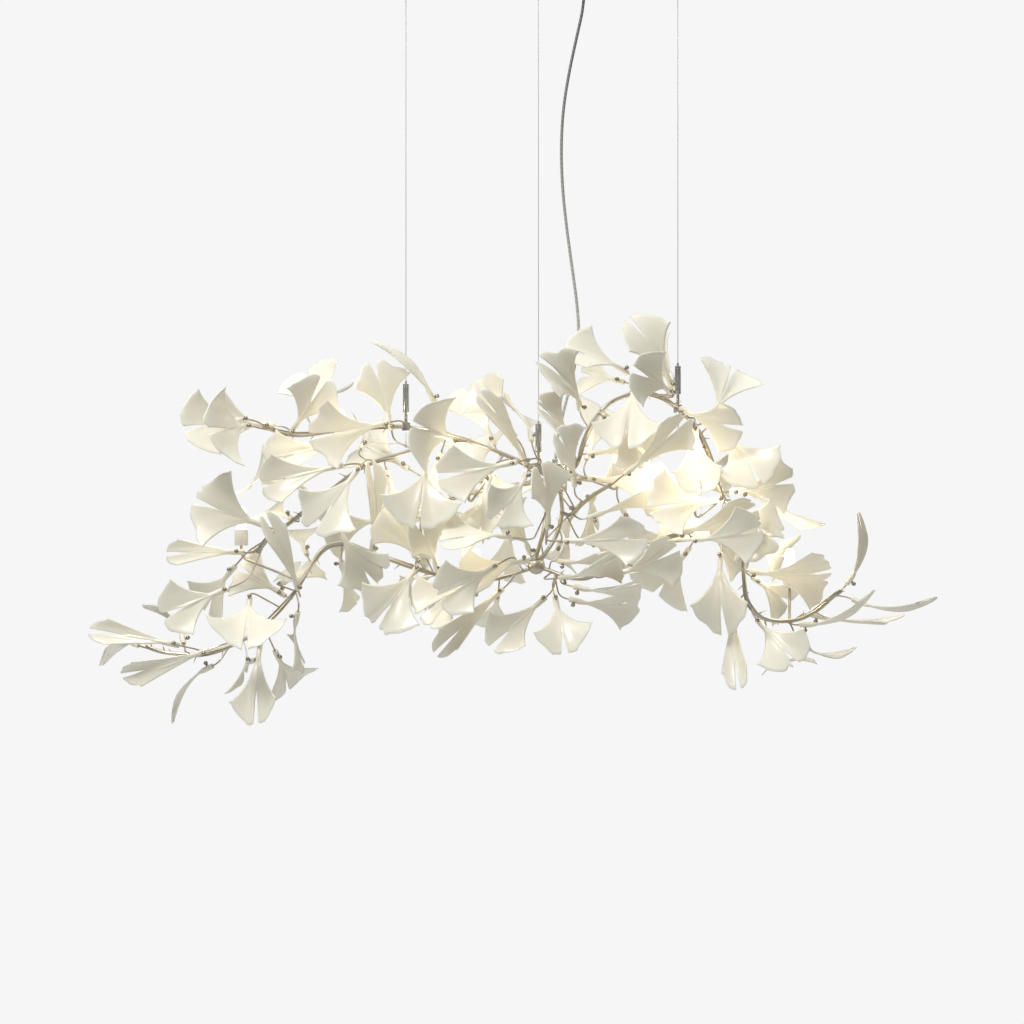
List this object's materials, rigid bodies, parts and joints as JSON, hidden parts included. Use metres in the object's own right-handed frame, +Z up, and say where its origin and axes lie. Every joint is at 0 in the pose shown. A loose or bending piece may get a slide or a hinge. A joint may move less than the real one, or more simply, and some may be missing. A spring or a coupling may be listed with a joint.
{
  "type": "leaf chandelier",
  "caption": "Wide chandelier of curled porcelain ginkgo leaves clamped on wire twigs of a brazed tube frame, hung on steel wires with grippers under a slim ceiling canopy.",
  "frame": {"origin": "centre of the canopy's ceiling face", "axes": "+Z up out of the ceiling face, +X to the viewer's right along the chandelier, +Y to the back"},
  "size_m": [1.2795, 0.4493, 1.159],
  "materials": {
    "porcelain": "thin ivory porcelain, satin glaze",
    "nickel_tube": "nickel plated, warm grey",
    "twig_wire": "nickel plated, warm grey",
    "lead_insulation": "silicone sleeve",
    "polished_steel": "polished",
    "canopy_paint": "satin white",
    "plate_steel": "zinc plated",
    "gland_plastic": "satin white",
    "terminal_plastic": "moulded",
    "wire_steel": "stainless, drawn",
    "cable_sheath": "clear sheath over tinned braid",
    "holder_ceramic": "unglazed white",
    "bulb_glass": "frosted"
  },
  "bodies": {
    "canopy": {"ceiling_plate": "plate_steel", "canopy_cover": "canopy_paint", "canopy_screws": "polished_steel", "ceiling_anchors": "plate_steel", "canopy_bushes": "polished_steel", "cable_gland": "gland_plastic", "terminal_block": "terminal_plastic", "wire_left": "wire_steel", "wire_middle": "wire_steel", "wire_right": "wire_steel", "wire_stops": "wire_steel", "power_cable": "cable_sheath"},
    "leaf_frame": {"branch_centre_right": "nickel_tube", "branch_leads": "lead_insulation", "branch_left_lower": "nickel_tube", "branch_left_middle": "nickel_tube", "branch_left_upper": "nickel_tube", "branch_right_arch": "nickel_tube", "branch_right_lower": "nickel_tube", "branches_rear": "nickel_tube", "gripper_barrels": "polished_steel", "gripper_caps": "polished_steel", "hub_cup": "polished_steel", "hub_lid": "polished_steel", "hub_risers": "nickel_tube", "lamp_arms": "nickel_tube", "lamp_holders": "holder_ceramic", "leaf_screws": "polished_steel", "leaves_bottom": "porcelain", "leaves_centre": "porcelain", "leaves_left_bottom": "porcelain", "leaves_left_centre": "porcelain", "leaves_left_middle": "porcelain", "leaves_left_tip": "porcelain", "leaves_left_upper": "porcelain", "leaves_lower_left": "porcelain", "leaves_rear": "porcelain", "leaves_right_middle": "porcelain", "leaves_right_tip": "porcelain", "leaves_right_upper": "porcelain", "leaves_upper_centre": "porcelain", "lower_knuckle": "polished_steel", "splice_block": "terminal_plastic", "twigs_centre": "twig_wire", "twigs_left_end": "twig_wire", "twigs_left_top": "twig_wire", "twigs_low": "twig_wire", "twigs_right": "twig_wire", "wire_saddles": "polished_steel"},
    "plunger_left": {"plunger_left": "polished_steel"},
    "plunger_middle": {"plunger_middle": "polished_steel"},
    "plunger_right": {"plunger_right": "polished_steel"},
    "bulb_1": {"bulb_1": "bulb_glass"},
    "bulb_2": {"bulb_2": "bulb_glass"},
    "bulb_3": {"bulb_3": "bulb_glass"},
    "bulb_4": {"bulb_4": "bulb_glass"},
    "bulb_5": {"bulb_5": "bulb_glass"},
    "bulb_6": {"bulb_6": "bulb_glass"},
    "bulb_7": {"bulb_7": "bulb_glass"},
    "bulb_8": {"bulb_8": "bulb_glass"}
  },
  "joints": [
    {"name": "hanging_height", "type": "slide", "parent": "canopy", "child": "leaf_frame", "axis": [0, 0, 1], "range_m": [0, 0.1], "deforming": ["power_cable"]},
    {"name": "release_left", "type": "slide", "parent": "leaf_frame", "child": "plunger_left", "axis": [0, 0, -1], "range_m": [0, 0.003], "stiffness_N_per_m": 400, "springref_m": -0.003},
    {"name": "release_middle", "type": "slide", "parent": "leaf_frame", "child": "plunger_middle", "axis": [0, 0, -1], "range_m": [0, 0.003], "stiffness_N_per_m": 400, "springref_m": -0.003},
    {"name": "release_right", "type": "slide", "parent": "leaf_frame", "child": "plunger_right", "axis": [0, 0, -1], "range_m": [0, 0.003], "stiffness_N_per_m": 400, "springref_m": -0.003},
    {"name": "bulb_pull_1", "type": "slide", "parent": "leaf_frame", "child": "bulb_1", "axis": [0, 0, 1], "range_m": [0, 0.02]},
    {"name": "bulb_pull_2", "type": "slide", "parent": "leaf_frame", "child": "bulb_2", "axis": [0, 0, 1], "range_m": [0, 0.02]},
    {"name": "bulb_pull_3", "type": "slide", "parent": "leaf_frame", "child": "bulb_3", "axis": [0, 0, 1], "range_m": [0, 0.02]},
    {"name": "bulb_pull_4", "type": "slide", "parent": "leaf_frame", "child": "bulb_4", "axis": [0, 0, 1], "range_m": [0, 0.02]},
    {"name": "bulb_pull_5", "type": "slide", "parent": "leaf_frame", "child": "bulb_5", "axis": [0, 0, 1], "range_m": [0, 0.02]},
    {"name": "bulb_pull_6", "type": "slide", "parent": "leaf_frame", "child": "bulb_6", "axis": [0, 0, 1], "range_m": [0, 0.02]},
    {"name": "bulb_pull_7", "type": "slide", "parent": "leaf_frame", "child": "bulb_7", "axis": [0, 0, 1], "range_m": [0, 0.02]},
    {"name": "bulb_pull_8", "type": "slide", "parent": "leaf_frame", "child": "bulb_8", "axis": [0, 0, 1], "range_m": [0, 0.02]}
  ]
}
